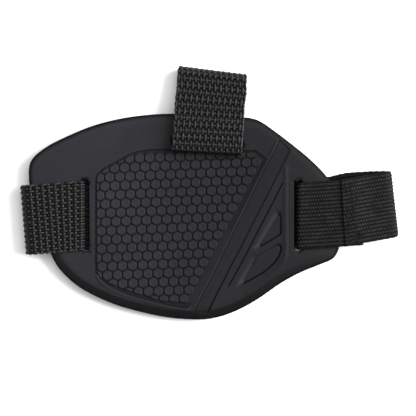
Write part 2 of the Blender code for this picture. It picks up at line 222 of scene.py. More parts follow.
def slot_loop(centre, turn, length, width, steps=10):
    """Clockwise round-ended slot, long way along Y before it is turned."""
    radius = width / 2
    reach = length / 2 - radius
    angles = np.pi - np.pi * np.arange(steps + 1) / steps
    top = np.stack([radius * np.cos(angles), reach + radius * np.sin(angles)], axis=1)
    loop = np.vstack([top, -top])
    a = math.radians(turn)
    spin = np.array([[math.cos(a), math.sin(a)], [-math.sin(a), math.cos(a)]])
    return loop @ spin + np.asarray(centre)


# ---------------------------------------------------------------- pad relief, in millimetres

SLOTS = [((-56.4, -10.4), 0.0), ((39.7, -10.4), 0.0), ((-1.1, 22.3), 86.8)]
SLOT_LENGTH = 32.5
SLOT_WIDTH = 3.4
SLOT_EASE = 0.45

# The field of bosses. Each row's last boss stands half a pitch left of the one above it.
HEX_ALONG = np.array([4.563, 0.197])
HEX_UP = np.array([-0.118, 4.01])
HEX_DIAGONAL = HEX_ALONG / 2 + HEX_UP
HEX_LAST = np.array([7.7, -10.95])
HEX_ROWS = range(7, -10, -1)
HEX_PITCH = 4.567
HEX_GAP = 0.3
HEX_PROFILE = [(0.0, 0.0), (0.16, 0.5), (0.3, 0.6), (0.55, 0.62), (1.1, 0.55)]
HEX_EDGE = np.array([
    (-51.2, 6.9), (-50.0, 8.8), (-45.4, 11.5), (-36.0, 16.8), (-29.0, 18.5), (-22.0, 18.9),
    (19.0, 18.0), (24.0, 14.0), (-8.0, -49.9), (-21.9, -48.9), (-31.5, -46.1),
    (-40.5, -43.0), (-45.9, -40.7), (-49.5, -38.5), (-51.2, -35.6),
])
FIELD_LEFT = [
    (-51.9, -36.2), (-51.9, -33.5), (-51.9, -29.0), (-51.9, -21.0), (-51.9, -10.0), (-51.9, -2.0),
    (-51.9, 2.5), (-51.85, 5.0), (-51.4, 7.3), (-50.0, 9.4), (-47.5, 11.3), (-41.0, 14.9),
    (-36.3, 17.4), (-31.5, 18.8), (-27.0, 19.4), (-20.0, 19.6), (0.0, 19.5), (20.6, 18.9),
]
FIELD_LIP = [(-51.1, -37.6), (-49.6, -39.6), (-46.7, -42.2), (-39.3, -45.9), (-29.7, -48.8),
             (-19.1, -51.5), (-10.6, -52.9)]
FIELD_DEPTH = 0.66
RAMP_START = 0.3  # from the last bosses to the foot of the ramp beside them
RAMP_LENGTH = 2.7

# The slanted band, sunk between two lines, and the groove and windows of the panel beside it
BAND_LEFT = [(31.2, 24.2), (28.4, 17.8), (25.0, 11.6), (20.8, 3.3), (15.4, -7.9),
             (11.5, -15.5), (7.8, -23.2), (4.9, -29.0), (0.9, -37.6), (-1.7, -42.2),
             (-7.4, -53.6)]
BAND_RIGHT = [(36.6, 19.2), (33.3, 12.6), (30.7, 7.7), (28.1, 2.6), (25.0, -3.4),
              (19.0, -15.2), (13.8, -25.5), (9.8, -33.0), (7.2, -38.4), (3.8, -45.0),
              (-0.8, -54.6)]
BAND_LEVEL = -0.3
PANEL_GROOVE = [(32.6, 4.2), (29.6, -1.9), (26.5, -7.9), (23.0, -14.6), (18.1, -24.1),
                (14.7, -30.7), (10.1, -39.0), (8.4, -42.2)]
BEAD = [(34.0, 11.0), (34.0, 0.0), (34.0, -14.0), (34.1, -25.6), (33.3, -30.8), (30.5, -34.8),
        (26.4, -38.3), (21.6, -41.7), (16.4, -44.8)]
UPPER_WINDOW = [(29.6, -8.4), (31.2, -8.6), (32.2, -10.4), (32.2, -18.9), (21.2, -25.5),
                (19.9, -25.0)]
UPPER_FLOOR = [(30.3, -10.6), (31.2, -10.0), (31.95, -11.4), (31.95, -18.6), (22.9, -24.0),
               (22.3, -23.7)]
LOWER_WINDOW = [(19.4, -29.2), (30.4, -23.1), (31.9, -23.5), (32.5, -25.6), (31.2, -29.2),
                (28.5, -32.7), (23.9, -36.5), (17.8, -40.0), (12.6, -42.7), (11.8, -42.2),
                (12.8, -40.2)]
LOWER_FLOOR = [(20.5, -29.1), (30.4, -23.5), (31.55, -23.9), (32.1, -25.6), (30.8, -29.0),
               (28.1, -32.4), (23.6, -36.1), (17.7, -39.4), (15.4, -40.5), (14.9, -40.0)]
WINDOW_DEPTH = 0.8
WINDOW_CORNER = 1.0
EAR_HIGHLIGHT = np.array([55.3, -26.4])  # a painted highlight at the right ear
EAR_ALONG, EAR_ACROSS = np.array([0.3, 0.954]), np.array([0.954, -0.3])
GRID = 1.7  # spacing of the free points that carry the crown
RIM_RINGS = (1.4, 2.2, 3.2, 4.3)  # insets of the free points' rings along the edge
FACE_INSET = 0.8  # from the pad's widest loop to the edge of its face
BACK_INSET = 0.5

# Tones of the moulded surface, 0 dark to 1 light: painted shade in its hollows, grooves and gaps,
# at the feet of walls and along its rim, and a painted highlight on walls that face the lamp
PLAIN, BOSS, SUNK, EDGE, SOFT_SHADE, GAP, WALL_HIGHLIGHT = 0.5, 0.56, 0.1, 0.2, 0.42, 0.25, 0.9
LIT_SIDE = np.array([0.85, 0.5])  # the side of a boss that faces the lamp, painted lighter at its foot


class Relief:
    """Level curves over the pad's face, each with its height above the crowned surface."""

    def __init__(self):
        self.points, self.levels, self.tones, self.edges = [], [], [], []
        self.areas, self.slopes = [], []

    def loop(self, outline, level, tone=PLAIN, floor=None, slope=False):
        """A closed curve; inside it free points lie at the floor level, or a slope has none."""
        outline = np.asarray(outline, float)
        start = len(self.points)
        count = len(outline)
        self.points.extend(outline.tolist())
        self.levels.extend(np.broadcast_to(level, count).tolist())
        self.tones.extend(np.broadcast_to(tone, count).tolist())
        self.edges.extend((start + i, start + (i + 1) % count) for i in range(count))
        if floor is not None:
            self.areas.append((outline, floor, float(np.mean(tone))))
        if slope:
            self.slopes.append(outline)

    def facts_at(self, points):
        levels, tones = np.zeros(len(points)), np.full(len(points), PLAIN)
        for outline, floor, tone in self.areas:
            within = inside(points, outline)
            levels[within], tones[within] = floor, tone
        return levels, tones

    def free(self, points):
        """Which points stand on no slope between two curves."""
        found = np.ones(len(points), bool)
        for outline in self.slopes:
            found &= ~inside(points, outline)
        for outline, _, _ in self.areas:
            found |= inside(points, outline)
        return found


def shifted(path, distance):
    """A downward path moved towards +X."""
    path = np.asarray(path, float)
    return path + left_of(path) * np.broadcast_to(distance, len(path))[:, None]


def shortened(path, distance):
    """A path without a stretch at each end, with the same number of points."""
    lengths = run_along(path)
    share = lengths / lengths[-1]
    return at_lengths(path, lengths, distance + share * (lengths[-1] - 2 * distance))


def lower_share(points):
    """1 along the pad's lower edge, falling to 0 round its sides."""
    facing = np.arctan2(points[:, 1] + 12.0, points[:, 0] + 10.0)
    return np.clip(1.35 * np.cos(facing + np.radians(98.0)), 0.0, 1.0) ** 0.7


def crown(points, outline):
    """Height of the pad's smooth face over its lower face: full inside, falling to the rim,
    with a wider and deeper fall along the lower edge and at the right ear."""
    reach = distance_to(points, outline)
    lower = lower_share(points)
    width = 2.4 + 2.0 * lower
    drop = 0.45 + 1.05 * lower
    slope = np.clip(1 - reach / width, 0, 1)
    ear = np.exp(-((points[:, 0] - 57.0) ** 2 + (points[:, 1] + 28.0) ** 2) / 42.0)
    dome = 0.25 * np.clip(1 - reach / 16.0, 0, 1) ** 2
    return PAD_THICKNESS - drop * slope ** 1.15 - dome - 0.9 * ear


def field_outline(inset, ramp):
    """The field's edge, or further inside it its floor's edge, with the tone along it: painted
    shade along the floor's foot, a softer painted shade beside the ramp.
    """
    left = shifted(smooth(FIELD_LEFT), -inset)
    beside = np.array([HEX_PITCH / 2 + RAMP_START + ramp, 0.0])
    right = np.array([HEX_LAST + row * HEX_DIAGONAL + beside for row in (6.4, -1.5, -9.2)])
    lip = shifted(smooth(FIELD_LIP), 0.55 + inset)[::-1]
    lip[:, 0] = np.minimum(lip[:, 0], right[-1][0] - 0.6 - inset)
    tones = np.concatenate([np.full(len(left), GAP), np.full(3, SOFT_SHADE), np.full(len(lip), GAP)])
    return np.vstack([left, right, lip]), tones


def hex_bosses(relief):
    """Hexagonal bosses, cut off at the edge of their field."""
    tilt = math.atan2(HEX_ALONG[1], HEX_ALONG[0])
    corner = np.radians(90 - 60 * np.arange(6)) + tilt
    radius = (HEX_PITCH - HEX_GAP) / math.sqrt(3)
    shape = np.stack([np.cos(corner), np.sin(corner)], axis=1) * radius
    centres = [HEX_LAST + row * HEX_DIAGONAL - column * HEX_ALONG
               for row in HEX_ROWS for column in range(20)]
    for centre in centres:
        boss = clip_convex(shape + centre, HEX_EDGE)
        if area_of(boss) < 1.2:
            continue
        for step, height in HEX_PROFILE:
            smaller = clip_convex(boss, boss, step)
            if area_of(smaller) < 0.3:
                break
            ring = round_corners(smaller, max(0.45 - 0.3 * step, 0.1), 1)
            outward = ring - ring.mean(axis=0)
            outward /= np.linalg.norm(outward, axis=1)[:, None]
            # Painted shade round each boss's foot, lighter on the side that faces the lamp.
            lit = np.clip(0.4 + 0.9 * outward @ LIT_SIDE, 0, 1)
            tone = SUNK + (SOFT_SHADE - SUNK) * lit if step < 0.05 else BOSS
            relief.loop(ring, height - FIELD_DEPTH, tone)
        if area_of(boss) > 0.98 * area_of(shape):
            relief.points.append(centre.tolist())
            relief.levels.append(HEX_PROFILE[-1][1] - FIELD_DEPTH - 0.03)
            relief.tones.append(BOSS)


def add_ridge(relief, path, *steps):
    """A bead or groove along a path, from (half width, level, tone) steps, widest first."""
    for number, (half_width, level, tone) in enumerate(steps):
        relief.loop(strip(path, half_width), level, tone, slope=number == 0)


def add_band(relief):
    """The band between its two lines, whose right-hand step deepens downwards."""
    left, right = smooth(BAND_LEFT), smooth(BAND_RIGHT)
    down = np.linspace(0.0, 1.0, len(right))

    def loop(left_shift, right_shift, cut, left_level, right_level, tone, **more):
        sides = [shortened(shifted(right, -right_shift), cut),
                 shortened(shifted(left, left_shift), cut)[::-1]]
        levels = np.concatenate([right_level + 0 * down, np.full(len(left), left_level)])
        relief.loop(np.vstack(sides), levels, tone, **more)

    loop(0.0, 0.0, 0.0, 0.0, 0.0, PLAIN, slope=True)
    # The grooves along both lines carry painted shade, the band's floor a softer painted shade.
    loop(0.2, 0.1, 0.3, -0.26, -0.12 - 0.5 * down, SUNK)
    loop(0.42, 0.2 + 0.3 * down, 0.5, -0.28, -0.14 - 0.5 * down, SUNK)
    loop(0.8, 0.55 + 0.7 * down, 1.0, BAND_LEVEL, BAND_LEVEL - 0.16 * down, SOFT_SHADE,
         floor=BAND_LEVEL)
    add_ridge(relief, shortened(shifted(left, -0.6), 1.5), (0.5, 0.0, PLAIN), (0.2, 0.16, BOSS))


def lit_tones(outline, lit, shaded):
    """Painted tones along a clockwise loop: the lit tone, a painted highlight, where its wall faces
    +X, and the shaded tone elsewhere.
    """
    return shaded + (lit - shaded) * np.clip(1.5 * chords(outline)[:, 1], 0.0, 1.0)


def add_panel(relief):
    """The groove, the bead and the two windows right of the band."""
    # The groove's bottom carries painted shade; each window's rim and floor edge carry a painted
    # highlight where their walls face +X, and the floor's edge painted shade elsewhere.
    add_ridge(relief, smooth(PANEL_GROOVE),
              (0.32, 0.0, PLAIN), (0.24, -0.1, PLAIN), (0.16, -0.95, SUNK))
    add_ridge(relief, smooth(BEAD, 4),
              (1.15, -0.04, PLAIN), (0.75, 0.08, PLAIN), (0.3, 0.17, PLAIN))
    for window in ((UPPER_WINDOW, UPPER_FLOOR), (LOWER_WINDOW, LOWER_FLOOR)):
        rim, floor = (round_corners(np.array(loop), WINDOW_CORNER, 4) for loop in window)
        relief.loop(inset_loop(rim, -0.14), 0.0, slope=True)
        relief.loop(rim, -0.07, lit_tones(rim, WALL_HIGHLIGHT, PLAIN))
        relief.loop(floor, -WINDOW_DEPTH - 0.12, lit_tones(floor, WALL_HIGHLIGHT, SUNK))
        relief.loop(inset_loop(floor, 0.3), -WINDOW_DEPTH, PLAIN, -WINDOW_DEPTH)


def pad_relief(outline):
    relief = Relief()
    # The face's edge carries painted shade.
    relief.loop(inset_loop(outline, FACE_INSET), 0.0, EDGE)
    relief.loop(field_outline(0.0, RAMP_LENGTH)[0], 0.0, slope=True)
    floor, tones = field_outline(0.3, 0.0)
    relief.loop(floor, -FIELD_DEPTH, tones, floor=-FIELD_DEPTH)
    hex_bosses(relief)
    add_ridge(relief, smooth(FIELD_LIP, 4), (0.45, 0.0, PLAIN), (0.2, 0.16, PLAIN))
    add_band(relief)
    add_panel(relief)
    return relief


def free_points(relief, outline, bare):
    """Points away from the level curves, where the crown bends the face: rings along the
    edge and a grid inside them."""
    low, high = outline.min(axis=0), outline.max(axis=0)
    xs, ys = np.arange(low[0], high[0], GRID), np.arange(low[1], high[1], GRID)
    grid = np.stack(np.meshgrid(xs, ys), axis=-1).reshape(-1, 2)
    grid[:, 0] += (np.arange(len(grid)) // len(xs) % 2) * GRID / 2
    grid = grid[inside(grid, inset_loop(outline, RIM_RINGS[-1] + GRID / 2))]
    grid = np.vstack([inset_loop(outline, step) for step in RIM_RINGS] + [grid])
    grid = grid[relief.free(grid)]
    for area in bare:
        grid = grid[~inside(grid, area)]
    taken = np.array(relief.points)
    clear = np.ones(len(grid), bool)
    for chunk in np.array_split(taken, max(len(taken) // 400, 1)):
        gap = np.linalg.norm(grid[:, None] - chunk[None], axis=2).min(axis=1)
        clear &= gap > 0.35 * GRID
    return grid[clear]


def triangulate(points, edges):
    """Constrained triangles: the points used, their source index or -1, and the triangles."""
    verts, _, faces, source, _, _ = delaunay_2d_cdt(
        [Vector(p) for p in points], edges, [], 0, 1e-5)
    source = np.array([s[0] if s else -1 for s in source])
    return np.array([v[:] for v in verts]), source, faces


def add_walls(builder, loop, *steps):
    """Quads between rings round a loop, each given as (inset, height)."""
    rings = [[builder.verts.new((x, y, z)) for (x, y), z
              in zip(inset_loop(loop, inset), np.broadcast_to(height, len(loop)))]
             for inset, height in steps]
    for upper, lower in zip(rings, rings[1:]):
        for i in range(len(upper)):
            j = (i + 1) % len(upper)
            builder.faces.new((upper[i], upper[j], lower[j], lower[i]))


def shown_faces(verts, faces, outline, holes):
    """The triangles inside an outline and outside its holes."""
    middles = np.array([verts[list(f)].mean(axis=0) for f in faces])
    shown = inside(middles, outline)
    for hole in holes:
        shown &= ~inside(middles, hole)
    return [face for keep, face in zip(shown, faces) if keep]


def add_object(name, data, place=(0, 0, 0)):
    made = bpy.data.objects.new(name, data)
    bpy.context.scene.collection.objects.link(made)
    made.location = place
    return made


def finish_mesh(name, builder, mesh, sharp):
    """An object of the built mesh, with smooth faces between its sharp edges."""
    bmesh.ops.remove_doubles(builder, verts=builder.verts, dist=1e-4 * MM)
    bmesh.ops.recalc_face_normals(builder, faces=builder.faces)
    builder.to_mesh(mesh)
    builder.free()
    mesh.shade_smooth()
    mesh.set_sharp_from_angle(angle=math.radians(sharp))
    return add_object(name, mesh)


def build_pad(finish):
    outline = pad_outline()
    slots = [slot_loop(centre, turn, SLOT_LENGTH, SLOT_WIDTH) for centre, turn in SLOTS]
    eased = [inset_loop(slot, -SLOT_EASE) for slot in slots]
    relief = pad_relief(outline)
    for slot in eased:
        relief.loop(slot, 0.0)
    grid = free_points(relief, outline, eased + [HEX_EDGE])
    verts, source, faces = triangulate(np.vstack([relief.points, grid]), relief.edges)
    found, tone = relief.facts_at(verts)
    curved = (source >= 0) & (source < len(relief.points))
    found[curved] = np.array(relief.levels)[source[curved]]
    tone[curved] = np.array(relief.tones)[source[curved]]
    heights = PAD_LOW + crown(verts, outline) + found
    reach = distance_to(verts, outline)
    # Painted shade along the rim, wider and deeper along the lower side, which slopes away from the
    # lamp.
    shade = np.clip((RIM_RINGS[-1] - reach) / 0.8, 0, 1) * lower_share(verts)
    tone += (EDGE - tone) * np.maximum(shade, np.clip((1.8 - reach) / 0.8, 0, 1))
    # A painted highlight at the right ear.
    along, aside = (verts - EAR_HIGHLIGHT) @ EAR_ALONG, (verts - EAR_HIGHLIGHT) @ EAR_ACROSS
    tone += 0.2 * np.exp(-(along / 2.4) ** 4 - (aside / 1.2) ** 4)
    # A faint painted light along the rim round the upper sides.
    tone += 0.1 * np.exp(-((reach - 2.4) / 1.0) ** 2) * (1 - lower_share(verts))

    builder = bmesh.new()
    tone_layer = builder.verts.layers.float.new("tone")
    made = [builder.verts.new((x, y, z)) for (x, y), z in zip(verts, heights)]
    for vert, value in zip(made, tone):
        vert[tone_layer] = value
    for face in shown_faces(verts, faces, inset_loop(outline, FACE_INSET - 1e-3), eased):
        builder.faces.new([made[i] for i in face])

    rim = PAD_LOW + crown(inset_loop(outline, FACE_INSET), outline)
    add_walls(builder, outline, (FACE_INSET, rim), (0.42, rim - 0.10), (0.14, rim - 0.3),
              (0.0, rim - 0.62), (0.0, PAD_LOW + 0.5), (0.12, PAD_LOW + 0.22),
              (BACK_INSET, PAD_LOW))
    for slot, wide in zip(slots, eased):
        top = PAD_LOW + crown(wide, outline)
        add_walls(builder, slot, (-SLOT_EASE, top), (-0.2, top - 0.1), (0.0, top - 0.4),
                  (0.0, PAD_LOW + 0.4), (-0.2, PAD_LOW + 0.1), (-SLOT_EASE, PAD_LOW))

    back, back_rim = Relief(), inset_loop(outline, BACK_INSET)
    for loop in [back_rim] + eased:
        back.loop(loop, 0.0)
    back_verts, _, back_faces = triangulate(np.array(back.points), back.edges)
    made = [builder.verts.new((x, y, PAD_LOW)) for x, y in back_verts]
    for face in shown_faces(back_verts, back_faces, back_rim, eased):
        builder.faces.new([made[i] for i in reversed(face)])
    mesh = bpy.data.meshes.new("rubber_pad")
    mesh.materials.append(finish)
    bmesh.ops.scale(builder, vec=Vector((MM,) * 3), verts=builder.verts)
    return finish_mesh("rubber_pad", builder, mesh, 38)


# ---------------------------------------------------------------- tapes


def even_path(points, spacing):
    """The same polyline with evenly spaced points."""
    points = np.asarray(points, float)
    lengths = run_along(points)
    count = int(math.ceil(lengths[-1] / spacing)) + 1
    return at_lengths(points, lengths, np.linspace(0, lengths[-1], count))


def softened(path, count):
    """A polyline with its corners eased by averaging over so many points, its ends kept."""
    weights = np.hanning(2 * count + 3)[1:-1]
    weights /= weights.sum()
    head = 2 * path[0] - path[count:0:-1]
    tail = 2 * path[-1] - path[-2:-count - 2:-1]
    longer = np.vstack([head, path, tail])
    return np.stack([np.convolve(column, weights, "valid") for column in longer.T], axis=1)


def arc(centre, radius, start, end, steps=12):
    angles = np.radians(np.linspace(start, end, steps + 1))
    return [(centre[0] + radius * math.cos(a), centre[1] + radius * math.sin(a)) for a in angles]


class Route:
    """Centre line of a tape with its width direction, looked up by length along it."""

    SPACING = 0.2
    EASE = 5  # spacings over which a corner of the profile is eased

    def __init__(self, profile, station):
        """profile holds (distance, height); station gives x, y and turn at a profile point."""
        profile = softened(even_path(profile, self.SPACING), self.EASE)
        share = np.linspace(0, 1, len(profile))
        rows = np.array([station(d, z, t) for (d, z), t in zip(profile, share)])
        places = np.column_stack([rows[:, :2], profile[:, 1]])
        turn = np.radians(rows[:, 2])
        across = np.column_stack([-np.sin(turn), np.cos(turn), np.zeros(len(turn))])
        self.lengths = run_along(places)
        self.length = self.lengths[-1]
        self.profile = profile
        tangent = np.gradient(places, self.lengths, axis=0)
        normal = np.cross(tangent, across)
        normal /= np.linalg.norm(normal, axis=1)[:, None]
        self.rows = np.hstack([places, across, normal])

    def at(self, length, aside, lift):
        """Points from length along, distance across and height over the centre line."""
        length, aside, lift = np.broadcast_arrays(length, aside, lift)
        flat = np.clip(length, 0, self.length).ravel()
        found = at_lengths(self.rows, self.lengths, flat)
        past = (length.ravel() - flat)[:, None]
        along = np.cross(found[:, 3:6], found[:, 6:9])
        points = (found[:, :3] + found[:, 3:6] * aside.ravel()[:, None]
                  + found[:, 6:9] * lift.ravel()[:, None] + along * past)
        return points.reshape(*length.shape, 3)

    def nearest(self, distance, height):
        """Length along at the profile point nearest to a given distance and height."""
        gap = np.hypot(self.profile[:, 0] - distance, self.profile[:, 1] - height)
        return self.lengths[int(np.argmin(gap))]


class Cloth:
    """Tubes gathered into one mesh, with a running UV along each yarn."""

    def __init__(self):
        self.points, self.faces, self.uvs, self.kinds, self.tones = [], [], [], [], []
        self.count = 0

    def add(self, points, faces, uvs, kind, tones):
        self.points.append(points)
        self.faces.extend((self.count + faces).tolist())
        self.uvs.append(uvs)
        self.kinds.extend([kind] * len(faces))
        self.tones.append(tones)
        self.count += len(points)

    def tube(self, rings, kind=0, tone=0.5, uv=None):
        """Quads between rings of points (n, m, 3), with a flat cap on either end whose tone of 0
        paints it dark as shade.
        """
        n, m = rings.shape[:2]
        if uv is None:
            along = run_along(rings.mean(axis=1))
            uv = np.stack(np.broadcast_arrays(along[:, None], np.arange(m)[None] / m), axis=-1)
        index = np.arange(n * m).reshape(n, m)
        beside = np.roll(index, -1, axis=1)
        quads = np.stack([index[:-1], beside[:-1], beside[1:], index[1:]], axis=-1).reshape(-1, 4)
        self.add(rings.reshape(-1, 3), quads, uv.reshape(-1, 2)[quads].reshape(-1, 2), kind,
                 np.broadcast_to(tone, (n, m)).ravel())
        for ring in (rings[0][::-1], rings[-1]):
            self.add(ring, np.arange(m)[None], np.zeros((m, 2)), kind, np.zeros(m))

    def make(self, name, finishes):
        mesh = bpy.data.meshes.new(name)
        points = np.vstack(self.points) * MM
        mesh.from_pydata(points.tolist(), [], self.faces)
        tones = mesh.attributes.new("tone", "FLOAT", "POINT")
        tones.data.foreach_set("value", np.concatenate(self.tones))
        layer = mesh.uv_layers.new(name="yarn")
        layer.data.foreach_set("uv", np.vstack(self.uvs).ravel())
        for finish in finishes:
            mesh.materials.append(finish)
        mesh.polygons.foreach_set("material_index", self.kinds)
        builder = bmesh.new()
        builder.from_mesh(mesh)
        return finish_mesh(name, builder, mesh, 60)

    def make_seam(self, name, thread, body, node):
        """A row of thread as a piece of its own."""
        piece = self.make(name, [thread])
        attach(piece, body)
        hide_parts(node)


WARP_PITCH = 1.25
SELVEDGE = 0.7  # from the tape's edge to its outermost yarn
KNUCKLE = 0.06  # ripple along each yarn, two to a row
CORE_HALF = 0.12
YARN_SIDES = 6
RING = 2 * np.pi * np.arange(YARN_SIDES) / YARN_SIDES
RING_COS, RING_SIN = np.cos(RING), np.sin(RING)
STITCH = 2.9
STITCH_LEAN = 0.25
THREAD_RADIUS = 0.17


def float_wave(phase, bias):
    """Height of a warp yarn, -1 to 1, over one full repeat of the weave."""
    swing = np.cos(2 * np.pi * phase) + bias
    return swing / np.sqrt(swing ** 2 + 0.55)


def weave(cloth, route, width, first_float, fold, row_pitch, bias=0.2, sway=None,
          pinch=(0.03, 0.03)):
    """Plain-woven coarse tape: crimped warp yarns along it over and under thick picks. It is
    pinched at its fold, where its tone is darkened as painted shade; its far end fades to painted
    shade and its cut yarn ends are painted dark as shade."""
    flat_cos, flat_sin = (np.sign(w) * np.abs(w) ** 0.85 for w in (RING_COS, RING_SIN))
    inner = width - 2 * SELVEDGE
    count = round(inner / WARP_PITCH) + 1
    pitch = inner / (count - 1)
    lengths = np.arange(0, route.length + 0.2, row_pitch / 8)
    sway = sway or (lambda s: 0 * s)
    near_fold = np.exp(-((lengths - fold) / 1.3) ** 2)
    # Painted shade over the last 1.5 mm to the far end and round the fold.
    tone = 0.5 * np.clip((route.length - lengths) / 1.5, 0, 1)
    tone *= 1 - 0.5 * np.exp(-((lengths - fold) / 3.2) ** 2)
    for k in range(count):
        aside = (k - (count - 1) / 2) * pitch
        phase = (lengths - first_float) / (2 * row_pitch) + 0.5 * (k % 2)
        wave = float_wave(phase, bias if k % 2 == 0 else -bias)
        knuckle = -np.cos(4 * np.pi * (lengths - first_float) / row_pitch)
        # Painted light on the float tops and knuckles, painted shade in their dips; every second
        # yarn is darker.
        lit = tone * (1 + 0.5 * knuckle) * (0.6 + 0.6 * wave) * (1.0 if k % 2 == 0 else 0.75)
        if k in (0, count - 1):
            out = 0.14 * np.cos(2 * np.pi * (lengths - first_float) / row_pitch + np.pi * (k > 0))
            aside = aside + math.copysign(1, aside) * out
        aside = (aside + sway(lengths)) * (1 - pinch[int(k > count / 2)] * near_fold)
        rings = route.at(lengths[:, None],
                         np.asarray(aside * np.ones(len(lengths)))[:, None]
                         + (0.5 + 0.2 * np.abs(wave))[:, None] * flat_cos,
                         (0.46 * wave + KNUCKLE * knuckle)[:, None] + 0.36 * flat_sin)
        cloth.tube(rings, tone=lit[:, None])
    half = width / 2 - 0.55
    across = np.linspace(-half, half, count * 2 + 1)
    picks = np.arange((first_float % row_pitch) - row_pitch, route.length, row_pitch)
    for pick in picks[(picks > 0.6) & (picks <= route.length - 0.6)]:
        row = round((pick - first_float) / row_pitch)
        column = across / pitch + (count - 1) / 2
        lift = -0.2 * np.cos(np.pi * (column + row))
        # The picks carry painted shade, darker than the warps over them.
        shade = float(np.interp(pick, lengths, tone))
        squeeze = 1 - max(pinch) * math.exp(-((pick - fold) / 1.3) ** 2)
        rings = route.at(pick + 0.62 * RING_COS[None],
                         ((across + sway(pick + 0 * across)) * squeeze)[:, None],
                         lift[:, None] + 0.3 * RING_SIN)
        cloth.tube(rings, tone=0.6 * shade)
    core(cloth, route, inner, sway)


def core(cloth, route, width, sway):
    """Thin sheet inside the weave, painted near black as shade between its yarns, so that no light
    passes between them.
    """
    lengths = np.linspace(0.4, route.length - 0.1, int(route.length / 0.8))
    corners = np.array([(-1, -1), (1, -1), (1, 1), (-1, 1)])
    rings = route.at(lengths[:, None], sway(lengths)[:, None] + corners[:, 0] * width / 2,
                     corners[:, 1] * CORE_HALF)
    cloth.tube(rings, kind=1)


def stitch_holes(lengths, pitch):
    """Place in its stitch, 0 to 1, and depth into the nearest hole, 0 to 1."""
    share = (lengths / pitch) % 1.0
    return share, np.exp(-(np.minimum(share, 1 - share) * pitch / 0.32) ** 2)


def stitch_row(route, length, face, width, pitch=STITCH, radius=THREAD_RADIUS):
    """One seam row across a tape: a thread pulled into a hole at every stitch."""
    count = int((width - 3.0) / pitch)
    half = count * pitch / 2
    aside = np.linspace(-half - 0.25, half + 0.25, count * 12)
    share, hole = stitch_holes(aside + half, pitch)
    lift = face + math.copysign(1, face) * (0.12 - 0.75 * hole)
    rings = route.at((length + STITCH_LEAN * (share - 0.5))[:, None] + radius * RING_COS,
                     aside[:, None], lift[:, None] + radius * RING_SIN)
    seam = Cloth()
    seam.tube(rings)
    return seam


# Left tape: its cut end is sewn behind the left bar, then it runs up the slot, over the bar,
# round the left fold and on behind the pad
SOLE_BOX = node_box("sole_strap")
SOLE_TUCK = 0.52  # how far the strap's end reaches past the CAD's, up to the elastic
LEFT_SLOPE, LEFT_TURN = 0.077, 4.8
LEFT_FOLD = -83.8
LEFT_SEAMS = (-62.0, -66.0)
LEFT_ROW_PITCH, LACE_ROW_PITCH = 2.75, 2.92
TAPE_HALF = 0.76
TAPE_WIDTH = SOLE_BOX[1][1] - SOLE_BOX[0][1] + 0.5
SLOT_X = -56.7
LOW_BEND, HIGH_BEND = 1.3, 1.5  # radii of the tape's turns into and out of the left slot
PAD_GAP = 0.3  # between the pad and the layers over and under it
OVER = PAD_HIGH + PAD_GAP + 0.9
LAP_HIGH, LAP_LOW = PAD_LOW - 0.1 - TAPE_HALF, PAD_LOW - 0.15 - 3 * TAPE_HALF
SOLE_Z = (SOLE_BOX[0][2] + SOLE_BOX[1][2]) / 2
SOLE_Y = (SOLE_BOX[0][1] + SOLE_BOX[1][1]) / 2


def blend_of(low, high, share):
    return low + (high - low) * min(max(share, 0.0), 1.0)


def left_route():
    """From the lap behind the bar, up the slot, round the fold and on to the strap's end."""
    radius = (OVER - LAP_LOW) / 2
    profile = [(-69.0, LAP_HIGH), (SLOT_X - LOW_BEND, LAP_HIGH)]
    profile += arc((SLOT_X - LOW_BEND, LAP_HIGH + LOW_BEND), LOW_BEND, -90, 0, 6)
    profile += arc((SLOT_X - HIGH_BEND, OVER - HIGH_BEND), HIGH_BEND, 0, 90, 6)
    profile += arc((LEFT_FOLD + radius, OVER - radius), radius, 90, 270)
    profile += [(-57.0, LAP_LOW), (-49.0, SOLE_Z), (SOLE_BOX[1][0] + SOLE_TUCK, SOLE_Z)]

    def station(x, z, share):
        sole = min(max((x + 60.0) / 8.0, 0.0), 1.0) if z < PAD_LOW and share > 0.3 else 0.0
        ring_turn = blend_of(0.0, LEFT_TURN, (SLOT_X - 2.0 - x) / 12.0)
        y = -10.4 + (x - SLOT_X) * LEFT_SLOPE
        return x, y + (SOLE_Y - y) * sole, ring_turn * (1 - sole)

    return Route(profile, station)


def build_left_tape(finish, core_finish, thread):
    route = left_route()
    cloth = Cloth()
    fold = route.nearest(LEFT_FOLD, (OVER + LAP_LOW) / 2)
    weave(cloth, route, TAPE_WIDTH, route.nearest(-60.6, OVER), fold, LEFT_ROW_PITCH, 0.1)
    tape = cloth.make("left_tape", [finish, core_finish])
    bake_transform(tape)
    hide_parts("left_strap_ring", "sole_strap")
    x, z = route.profile.T
    behind = (route.lengths > route.length / 3) & (z < PAD_LOW)
    for row, place in enumerate(LEFT_SEAMS, start=1):
        spot = route.lengths[behind & (np.abs(x - place) < 0.3)][0]
        seam = stitch_row(route, spot, TAPE_HALF, TAPE_WIDTH)
        seam.make_seam(f"left_seam_{row}", thread, "pad", f"left_seam_thread_{row}")


# Top loop: distances run from its slot along the loop, leaning a little to the right
LACE_LEAN = math.radians(4.0)
LACE_SLOT = (-1.1, 22.3)
LACE_FOLD = 33.6
LACE_HINGE = 15.6
LACE_PINCH = (0.08, 0.03)
LACE_BEND, LACE_CURL = 1.5, 1.7  # radii of the turns in the slot and of the curl above it
LACE_TIP = LACE_FOLD - 0.9
LACE_FLEX = 2.6  # half the stretch about the loop's hinge point; its two ends are worked out and not used
LACE_SEAMS = (2.0, 4.8)  # seam rows, from the end behind the pad


